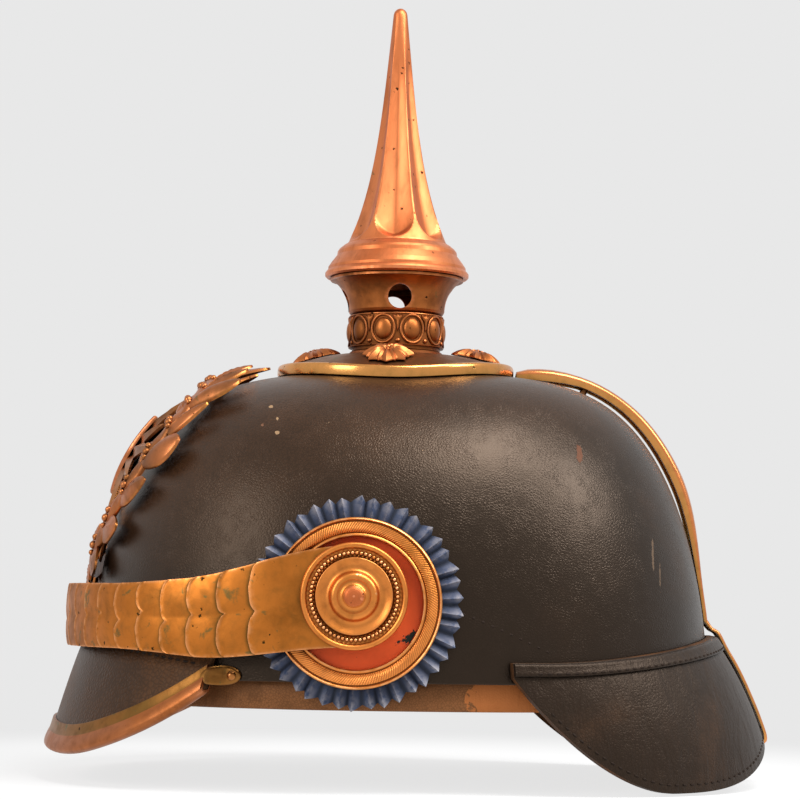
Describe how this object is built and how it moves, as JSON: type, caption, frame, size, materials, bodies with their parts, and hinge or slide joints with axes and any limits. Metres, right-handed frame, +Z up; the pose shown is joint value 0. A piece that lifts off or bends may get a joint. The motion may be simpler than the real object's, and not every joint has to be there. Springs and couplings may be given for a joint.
{
  "type": "spiked leather helmet",
  "caption": "Officer's spiked leather helmet with metal spike, front plate, rear spine, cockades and hinged chin scales.",
  "frame": {"origin": "on the spike's axis, in the plane of the leather skull's lower rim", "axes": "+Z up along the spike, +X to the wearer's left, -Y to the front"},
  "size_m": [0.21, 0.2562, 0.2776],
  "materials": {
    "black_leather": "lacquered black, worn",
    "brown_leather": "vegetable tanned, worn",
    "blue_leather": "painted, pleated, matt",
    "red_paint": "matt paint, chipped",
    "brass": "old gilt, tarnished",
    "dark_brass": "brown patina",
    "copper": "copper-toned gilt, pitted",
    "lining_cloth": "gathered silk"
  },
  "bodies": {
    "helmet": {"skull": "black_leather", "front_visor": "black_leather", "visor_trim": "brass", "trim_rivets": "brass", "neck_guard": "black_leather", "guard_welt": "black_leather", "rear_spine": "brass", "spine_posts": "dark_brass", "spine_nuts": "dark_brass", "base_plate": "dark_brass", "star_studs": "copper", "stud_nuts": "dark_brass", "neck": "copper", "pearl_ring": "copper", "wreath_plate": "dark_brass", "plate_star": "brass", "plate_shield": "copper", "plate_posts": "dark_brass", "plate_nuts": "dark_brass", "cockade_left": "blue_leather", "cockade_right": "blue_leather", "cockade_ring_left": "brass", "cockade_ring_right": "brass", "cockade_centre_left": "red_paint", "cockade_centre_right": "red_paint", "rosette_left": "brass", "rosette_right": "brass", "post_left": "brass", "post_right": "brass", "post_nuts": "dark_brass", "sweatband": "brown_leather", "lining": "lining_cloth"},
    "spike": {"spike_foot": "copper", "spike_shaft": "copper"},
    "chin_scales": {"root_scale_left": "brass", "root_scale_right": "brass", "scales_left": "brass", "scales_right": "brass", "strap_left": "brown_leather", "strap_right": "brown_leather", "buckle_frame": "brass", "buckle_prong": "brass", "strap_keeper": "brown_leather"}
  },
  "joints": [
    {"name": "chin_scales_swing", "type": "hinge", "parent": "helmet", "child": "chin_scales", "pos_m": [0, -0.012, 0.028], "axis": [-1, 0, 0], "range_deg": [0, 72]},
    {"name": "spike_lift", "type": "slide", "parent": "helmet", "child": "spike", "axis": [0, 0, 1], "range_m": [0, 0.04]}
  ]
}
